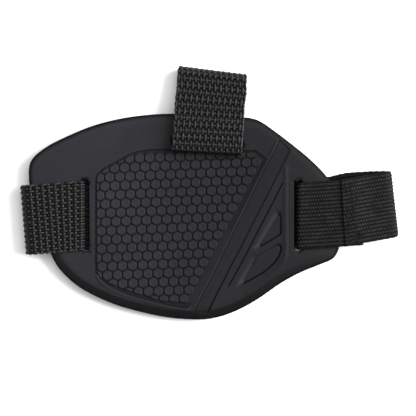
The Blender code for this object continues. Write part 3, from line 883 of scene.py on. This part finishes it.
def lace_station(distance, z, share):
    turn = blend_of(-3.2, -7.2, (distance - 2.0) / (LACE_FOLD - 2.0))
    return (LACE_SLOT[0] + distance * math.sin(LACE_LEAN),
            LACE_SLOT[1] + distance * math.cos(LACE_LEAN), turn - 90.0)


def lace_route():
    """From the lap behind the pad, up the slot, over the curl, round the fold and back."""
    curl_z = OVER + 0.1 + LACE_CURL
    fold_z = OVER - 0.8
    floor_z = TAPE_HALF + 0.06
    radius = (fold_z - floor_z) / 2
    profile = [(11.5, LAP_HIGH), (1.9, LAP_HIGH)]
    profile += arc((1.9, LAP_HIGH + LACE_BEND), LACE_BEND, 270, 180, 6)
    profile += arc((-1.1, OVER - 1.4), LACE_BEND, 0, 90, 6)
    profile += arc((-2.9, curl_z), LACE_CURL, 270, 90, 10)
    profile += [(3.0, curl_z + 1.5), (9.0, curl_z + 0.7), (LACE_HINGE, OVER + 0.75),
                (22.0, OVER + 0.1)]
    profile += arc((LACE_TIP - radius, floor_z + radius), radius, 90, -90)
    profile += [(23.5, floor_z), (19.6, floor_z + 0.7), (13.0, LAP_LOW - 0.3), (2.6, LAP_LOW)]
    return Route(profile, lace_station)


def lace_sway(route):
    """Slight sideways wander of the loop's front layer."""
    fold = route.nearest(LACE_FOLD - 1.0, OVER / 2)
    return lambda s: (0.35 * np.exp(-((s - fold + 11.0) / 3.0) ** 2)
                      - 0.2 * np.exp(-((s - fold + 17.0) / 3.5) ** 2))


def build_lace_loop(finish, core_finish, thread):
    route = lace_route()
    cloth = Cloth()
    fold = route.nearest(LACE_TIP, OVER / 2)
    weave(cloth, route, TAPE_WIDTH, route.nearest(25.0, OVER), fold, LACE_ROW_PITCH, 0.3,
          lace_sway(route), LACE_PINCH)
    loop = cloth.make("lace_tape", [finish, core_finish])
    start, end = ((x * MM, y * MM, 0.0105) for x, y, _ in
                  (lace_station(LACE_HINGE + reach, 0, 0) for reach in (-LACE_FLEX, LACE_FLEX)))
    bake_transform(loop)
    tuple(start)
    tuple(end)
    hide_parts("lace_loop_root", "lace_loop_end")
    for row, place in enumerate(LACE_SEAMS, start=1):
        seam = stitch_row(route, route.length - place, -TAPE_HALF, TAPE_WIDTH)
        seam.make_seam(f"lace_seam_{row}", thread, "pad", f"lace_seam_thread_{row}")


# Elastic loop: its upper end is sewn over the lower one just right of the pad
ELASTIC_WIDTH = 30.0
ELASTIC_HALF = 0.36
RIB_PITCH = 1.68
HATCH_PITCH = 1.2
ELASTIC_STITCH = 1.9
ELASTIC_MIDDLE = 0.65  # half the CAD elastic's thickness
ELASTIC_OVER = PAD_HIGH + PAD_GAP + ELASTIC_MIDDLE
ELASTIC_BEND = 1.2
ELASTIC_SLOT_X = 39.4
LAP_RISE = 1.2
FRONT_DROP = 2.6  # fall of the front layer from the flex line to the fold
ELASTIC_HINGE = 59.4
ELASTIC_FOLD = 83.3
SEAM_LENGTHS = (1.7, 4.4)  # seam rows, from the cut end of the upper layer


def elastic_station(x, z, share):
    """The front layer climbs to the right in two turns; the rear layer runs flatter."""
    front = [(40.0, -10.6, 0.0), (47.0, -10.2, 3.6), (61.0, -9.2, 3.6), (68.0, -7.7, 7.5),
             (84.0, -5.0, 6.5)]
    rear = [(40.0, -9.0, 0.0), (54.0, -7.7, 2.0), (63.0, -5.9, 3.0), (74.0, -5.2, 4.8),
            (84.0, -5.0, 6.5)]
    tongue = front[:3] + [(84.0, -7.8, 3.6)]
    upper = np.array(front if share < 0.5 else tongue)
    rear = np.array(rear)
    height = blend_of(0.0, 1.0, (z - 3.0) / 4.5)
    return (x, *(blend_of(np.interp(x, rear[:, 0], rear[:, k]),
                          np.interp(x, upper[:, 0], upper[:, k]), height) for k in (1, 2)))


def elastic_front_z(x):
    share = (x - ELASTIC_HINGE) / (ELASTIC_FOLD - ELASTIC_HINGE)
    return ELASTIC_OVER + LAP_RISE - FRONT_DROP * max(share, 0)


def elastic_route():
    """From the lap's upper end to the fold, back under the pad and up the slot to the lap."""
    under = PAD_LOW - PAD_GAP - ELASTIC_MIDDLE
    floor_z = ELASTIC_HALF + 0.4
    radius = (elastic_front_z(79.0) - floor_z) / 2
    fold_x = ELASTIC_FOLD - 0.2 - radius
    bend_x = ELASTIC_SLOT_X + ELASTIC_BEND
    profile = [(59.7, elastic_front_z(59.7) - 0.45), (60.8, elastic_front_z(60.8) - 0.08),
               (63.0, elastic_front_z(63.0)), (68.0, elastic_front_z(68.0))]
    profile += arc((fold_x, floor_z + radius), radius, 90, -90)
    profile += [(74.0, floor_z + 0.1), (68.0, floor_z + 0.6), (59.7, under - 0.6), (52.0, under)]
    profile += arc((bend_x, under + ELASTIC_BEND), ELASTIC_BEND, 270, 180, 6)
    profile += arc((bend_x, ELASTIC_OVER - ELASTIC_BEND), ELASTIC_BEND, 180, 90, 6)
    profile += [(57.0, ELASTIC_OVER), (61.0, elastic_front_z(61.0) - LAP_RISE),
                (68.1, elastic_front_z(68.1) - LAP_RISE)]
    return Route(profile, elastic_station)


def elastic_face(length, aside):
    """Relief of the ribs and of the fine hatching between them, 0 to 1, with the pucker
    that the two seam rows pull into the upper layer."""
    place = aside / RIB_PITCH + 0.5
    across = np.abs(np.sin(np.pi * place)) ** 0.9
    hatch = 0.5 + 0.5 * np.sin(2 * np.pi * (length / HATCH_PITCH + 0.45 * place))
    patch = np.sin(length * 0.55 + 2.0 * np.sin(aside * 0.31)) * np.cos(aside * 0.42 + 0.7)
    share = 0.52 + 0.25 * patch
    relief = across * (1 - share + share * hatch)
    for row, seed in zip(SEAM_LENGTHS, (0.0, 1.7)):
        stitch = 0.5 + 0.5 * np.sin(aside * 2 * np.pi / ELASTIC_STITCH + seed)
        wander = row + 0.3 * np.sin(aside * 0.9 + seed)
        pull = np.clip(0.5 + 0.6 * np.sin(aside * 0.75 + 4.0 * seed), 0.15, 1.0)
        relief = relief * (1 - 0.95 * stitch * pull * np.exp(-((length - wander) / 0.45) ** 2))
    knot = np.exp(-((length - 5.6) / 0.9) ** 2 - ((aside + 11.2) / 2.0) ** 2)
    return relief * (1 - 0.9 * knot)


def build_elastic(finish, thread):
    route = elastic_route()
    half = ELASTIC_WIDTH / 2
    lengths = np.linspace(0, route.length, int(route.length / 0.275))
    columns = np.linspace(-half, half, int(ELASTIC_WIDTH / RIB_PITCH * 6))
    edge = np.clip((half - np.abs(columns)) / 0.5, 0, 1) ** 0.5
    ends = np.clip(np.minimum(lengths, route.length - lengths) / 0.6 + 0.35, 0, 1)[:, None]
    fold = route.nearest(ELASTIC_FOLD, elastic_front_z(79.0) / 2)
    near_fold = np.exp(-((lengths - fold) / 1.5) ** 2)[:, None]
    grid_length, grid_aside = np.meshgrid(lengths, columns, indexing="ij")
    face = elastic_face(grid_length, grid_aside)
    lift = (ELASTIC_HALF + 0.36 * face) * (0.35 + 0.65 * edge) * ends
    # Painted light at the upper layer's cut end.
    lit_end = 1 + 1.1 * np.exp(-(lengths / 1.1) ** 2)[:, None]
    beyond = np.clip((grid_length - 9.0) / 6.0, 0, 1)
    # Painted shade in the rib grooves, at the tape's edges and round the fold; the tape is also
    # darker beyond 9 mm along.
    tone = 1.2 * face ** 1.5 * (0.4 + 0.6 * edge) * (1 - 0.75 * near_fold) * lit_end
    tone *= 1 - 0.2 * beyond
    wander = 0.06 * np.sin(grid_length * 2.1) * (np.abs(grid_aside) > half - 0.4)
    pinch = 1 - near_fold * np.where(grid_aside < 0, 0.09, 0.05)
    grid_aside = (grid_aside + np.sign(grid_aside) * wander) * pinch
    upper = route.at(grid_length, grid_aside, lift)
    lower = route.at(grid_length, grid_aside, -lift)
    rings = np.concatenate([upper, lower[:, ::-1]], axis=1)
    uv = np.stack([np.concatenate([grid_length, grid_length], axis=1),
                   np.concatenate([grid_aside, grid_aside[:, ::-1]], axis=1)], axis=-1)
    cloth = Cloth()
    # The inner face carries a tenth of the tone: painted shade inside the loop.
    cloth.tube(rings, tone=np.concatenate([tone, 0.1 * tone[:, ::-1]], axis=1), uv=uv)
    elastic = cloth.make("elastic_tape", [finish])
    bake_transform(elastic)
    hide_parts("elastic_root", "elastic_end")
    for row, place in enumerate(SEAM_LENGTHS, start=1):
        for kind, face in (("needle", ELASTIC_HALF + 0.08),
                           ("bobbin", -ELASTIC_HALF - 0.3 - LAP_RISE)):
            seam = stitch_row(route, place, -face, ELASTIC_WIDTH, ELASTIC_STITCH, 0.16)
            seam.make_seam(f"elastic_{kind}_seam_{row}", thread, "elastic_loop",
                           f"elastic_{kind}_thread_{row}")


# Hook patch under the far end of the sole strap
HOOK_BOX = node_box("hook_patch")
HOOK_HEIGHT = 0.55
HOOK_ROW, HOOK_STEP = 0.95, 1.1
HOOK_MARGIN = 1.0
HOOK_BORDER = 2.4  # no hooks this close to the edge, where the seam runs
HOOK_STEM = [(0.0, 0.0, 0.16), (0.0, 0.32, 0.14), (0.06, 0.55, 0.13), (0.2, 0.7, 0.13),
             (0.38, 0.66, 0.12), (0.46, 0.5, 0.09)]  # (sideways, down, radius) along a hook


def build_hook_patch(finish, thread):
    low, high = HOOK_BOX
    base = high[2] - HOOK_HEIGHT
    corners = np.array([(low[0], low[1]), (low[0], high[1]), (high[0], high[1]), (high[0], low[1])])
    cloth = Cloth()
    inward = corners.mean(axis=0) - corners
    cloth.tube(np.array([np.column_stack([corners + inward * share, np.full(4, z)])
                         for share, z in ((0.01, high[2]), (0.0, high[2] - 0.15),
                                          (0.0, base + 0.15), (0.01, base))]))
    for row, x in enumerate(np.arange(low[0] + HOOK_MARGIN, high[0] - HOOK_MARGIN, HOOK_ROW)):
        first = low[1] + HOOK_MARGIN + HOOK_STEP / 2 * (row % 2)
        facing = 1 if row % 2 else -1
        for y in np.arange(first, high[1] - HOOK_MARGIN, HOOK_STEP):
            if min(x - low[0], high[0] - x, y - low[1], high[1] - y) >= HOOK_BORDER:
                cloth.tube(np.array([
                    np.column_stack([x + facing * out + r * RING_COS, y + r * RING_SIN,
                                     np.full(YARN_SIDES, base - down)])
                    for out, down, r in HOOK_STEM]))
    patch = cloth.make("hook_field", [finish])
    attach(patch, "sole_strap")
    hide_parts("hook_patch")

    x0, x1, y0, y1 = low[0] + 1.4, high[0] - 1.4, low[1] + 1.4, high[1] - 1.4
    path = even_path([(x0, y0), (x1, y0), (x1, y1), (x0, y1), (x0, y0 + 0.4)], 0.24)
    _, hole = stitch_holes(0.24 * np.arange(len(path)), STITCH)
    flat = path[:, None] + left_of(path)[:, None] * (THREAD_RADIUS * RING_COS)[None, :, None]
    heights = (base - 0.12 + 0.5 * hole)[:, None] + THREAD_RADIUS * RING_SIN
    seam = Cloth()
    seam.tube(np.concatenate([flat, heights[:, :, None]], axis=2))
    seam.make_seam("hook_patch_seam", thread, "sole_strap", "hook_patch_thread")


# ---------------------------------------------------------------- materials


def new_material(name):
    made = bpy.data.materials.new(name)
    made.use_nodes = True
    tree = made.node_tree
    return made, tree, tree.nodes["Principled BSDF"]


def noise(tree, scale, detail=2.0):
    """Noise over the object's own coordinates."""
    coords = tree.nodes.get("Coords") or tree.nodes.new("ShaderNodeTexCoord")
    coords.name = "Coords"
    made = tree.nodes.new("ShaderNodeTexNoise")
    for socket, value in (("Scale", scale), ("Detail", detail), ("Roughness", 0.6)):
        made.inputs[socket].default_value = value
    tree.links.new(coords.outputs["Object"], made.inputs["Vector"])
    return made.outputs["Fac"]


def ramp(tree, source, *stops):
    """Colour ramp over an output, from (position, colour or grey level) pairs."""
    made = tree.nodes.new("ShaderNodeValToRGB")
    elements = made.color_ramp.elements
    while len(elements) < len(stops):
        elements.new(0.5)
    for element, (position, colour) in zip(elements, stops):
        element.position = position
        element.color = (*np.broadcast_to(colour, 3), 1.0)
    tree.links.new(source, made.inputs["Fac"])
    return made.outputs["Color"]


def bump(tree, shader, height, strength, distance, after=None):
    made = tree.nodes.new("ShaderNodeBump")
    made.inputs["Strength"].default_value = strength
    made.inputs["Distance"].default_value = distance
    tree.links.new(height, made.inputs["Height"])
    if after is not None:
        tree.links.new(after, made.inputs["Normal"])
    tree.links.new(made.outputs["Normal"], shader.inputs["Normal"])
    return made.outputs["Normal"]


def multiply(tree, first, second):
    """Product of two colours."""
    made = tree.nodes.new("ShaderNodeMix")
    made.data_type = "RGBA"
    made.blend_type = "MULTIPLY"
    made.inputs["Factor"].default_value = 1.0
    tree.links.new(first, made.inputs["A"])
    tree.links.new(second, made.inputs["B"])
    return made.outputs["Result"]


def tone_ramp(tree, *stops):
    """Grey levels over the mesh's own tone attribute."""
    tone = tree.nodes.new("ShaderNodeAttribute")
    tone.attribute_name = "tone"
    return ramp(tree, tone.outputs["Fac"], *stops)


def rubber_material():
    """Matte moulded rubber, with the painted light and shade carried by the tone attribute: painted
    shade in its sunk parts and along its rim, painted highlights on walls facing the lamp. It is
    darker towards the elastic's side.
    """
    made, tree, shader = new_material("moulded_rubber")
    mottled = ramp(tree, noise(tree, 60.0, 3.0),
                   (0.3, (0.0122, 0.0119, 0.0142)), (0.7, (0.0152, 0.0148, 0.0176)))
    by_tone = tone_ramp(tree, (0.0, 0.1), (0.25, 0.42), (0.5, 1.0), (1.0, 1.9))
    split = tree.nodes.new("ShaderNodeSeparateXYZ")
    tree.links.new(tree.nodes["Coords"].outputs["Object"], split.inputs["Vector"])
    aside = tree.nodes.new("ShaderNodeMapRange")
    for socket, value in (("From Min", -0.045), ("From Max", 0.02), ("To Min", 1.0),
                          ("To Max", 0.5)):
        aside.inputs[socket].default_value = value
    tree.links.new(split.outputs["X"], aside.inputs["Value"])
    toned = multiply(tree, mottled, by_tone)
    tree.links.new(multiply(tree, toned, aside.outputs["Result"]), shader.inputs["Base Color"])
    rough = ramp(tree, noise(tree, 140.0, 4.0), (0.3, 0.5), (0.75, 0.62))
    tree.links.new(rough, shader.inputs["Roughness"])
    shader.inputs["Specular IOR Level"].default_value = 0.08
    fine = bump(tree, shader, noise(tree, 2600.0), 0.25, 0.0001)
    bump(tree, shader, noise(tree, 180.0), 0.25, 0.0001, fine)
    return made


def yarn_material(name, dark, light, roughness, twist, specular):
    """Spun yarn: fine twisted strands along the UV, with slightly uneven colour and gloss, and the
    painted light and shade of the mesh's tone attribute.
    """
    made, tree, shader = new_material(name)
    colour = ramp(tree, noise(tree, 420.0, 3.0), (0.3, dark), (0.75, light))
    by_tone = tone_ramp(tree, (0.0, 0.03), (0.3, 0.4), (0.5, 1.0), (1.0, 2.2))
    speckle = ramp(tree, noise(tree, 2200.0), (0.35, 0.3), (0.65, 1.7))
    toned = multiply(tree, colour, by_tone)
    tree.links.new(multiply(tree, toned, speckle), shader.inputs["Base Color"])
    rough = ramp(tree, noise(tree, 900.0), (0.3, roughness - 0.08), (0.7, roughness + 0.1))
    tree.links.new(rough, shader.inputs["Roughness"])
    shader.inputs["Specular IOR Level"].default_value = specular
    along = tree.nodes.new("ShaderNodeUVMap")
    along.uv_map = "yarn"
    lean = tree.nodes.new("ShaderNodeMapping")
    lean.inputs["Rotation"].default_value = (0, 0, twist)
    tree.links.new(along.outputs["UV"], lean.inputs["Vector"])
    strands = tree.nodes.new("ShaderNodeTexWave")
    strands.inputs["Scale"].default_value = 1.6
    strands.inputs["Distortion"].default_value = 1.2
    tree.links.new(lean.outputs["Vector"], strands.inputs["Vector"])
    bump(tree, shader, strands.outputs["Fac"], 0.35, 0.00006)
    return made


def plain_material(name, dark, light, roughness, scale, specular=0.4):
    """A finish of one slightly uneven colour."""
    made, tree, shader = new_material(name)
    uneven = noise(tree, scale, 3.0)
    tree.links.new(ramp(tree, uneven, (0.3, dark), (0.7, light)), shader.inputs["Base Color"])
    shader.inputs["Roughness"].default_value = roughness
    shader.inputs["Specular IOR Level"].default_value = specular
    bump(tree, shader, uneven, 0.3, 0.00005)
    return made


def floor_material():
    made, tree, shader = new_material("pale_floor")
    colour = ramp(tree, noise(tree, 3.0), (0.3, (0.9, 0.9, 0.895)), (0.7, (0.92, 0.92, 0.915)))
    tree.links.new(colour, shader.inputs["Base Color"])
    shader.inputs["Roughness"].default_value = 0.7
    return made


# ---------------------------------------------------------------- stage, light and camera

VIEW_WIDTH = 187.2  # millimetres across the picture
VIEW_CENTRE = (-0.9, -6.98)
LENS = 150.0
SENSOR = 36.0


def add_light(name, place, size, power):
    light = bpy.data.lights.new(name, "AREA")
    light.shape = "DISK"
    light.size = size
    light.energy = power
    holder = add_object(name, light, place)
    holder.rotation_euler = (-Vector(place)).to_track_quat("-Z", "Y").to_euler()


def build_stage():
    bpy.ops.mesh.primitive_plane_add(size=2.4, location=(0, 0, CAD_BOX[0].z))
    floor = bpy.context.active_object
    floor.name = "floor"
    floor.data.materials.append(floor_material())
    add_light("key_light", (0.9, 0.2, 0.7), 0.85, 33.0)
    add_light("top_light", (0.2, 0.35, 1.3), 1.2, 10.0)
    scene = bpy.context.scene
    scene.world = bpy.data.worlds.new("studio")
    scene.world.use_nodes = True
    sky = scene.world.node_tree.nodes["Background"]
    sky.inputs["Color"].default_value = (1, 1, 1, 1)
    sky.inputs["Strength"].default_value = 0.5
    scene.view_settings.view_transform = "Standard"

    camera = bpy.data.cameras.new("camera")
    camera.lens = LENS
    camera.sensor_width = SENSOR
    camera.clip_start, camera.clip_end = 0.01, 10.0
    height = VIEW_WIDTH * LENS / SENSOR + PAD_HIGH
    scene.camera = add_object("camera", camera, Vector((*VIEW_CENTRE, height)) * MM)


build_stage()
rubber = rubber_material()
pad = build_pad(rubber)
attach(pad, "pad")
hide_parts("pad_shell")

tape_yarn = yarn_material("tape_yarn", 0.0130, 0.0210, 0.4, 0.8, 0.2)
# The core's near-black finish is painted shade between the yarns.
shade_core = plain_material("shade_core", 0.001, 0.003, 0.9, 300.0, 0.05)
elastic_yarn = yarn_material("elastic_yarn", 0.0060, 0.0108, 0.55, 0.3, 0.05)
thread_yarn = yarn_material("thread_yarn", 0.002, 0.004, 0.5, 0.9, 0.12)
hook_plastic = plain_material("hook_plastic", 0.01, 0.018, 0.45, 500.0)
build_left_tape(tape_yarn, shade_core, thread_yarn)
build_lace_loop(tape_yarn, shade_core, thread_yarn)
build_elastic(elastic_yarn, thread_yarn)
build_hook_patch(hook_plastic, thread_yarn)
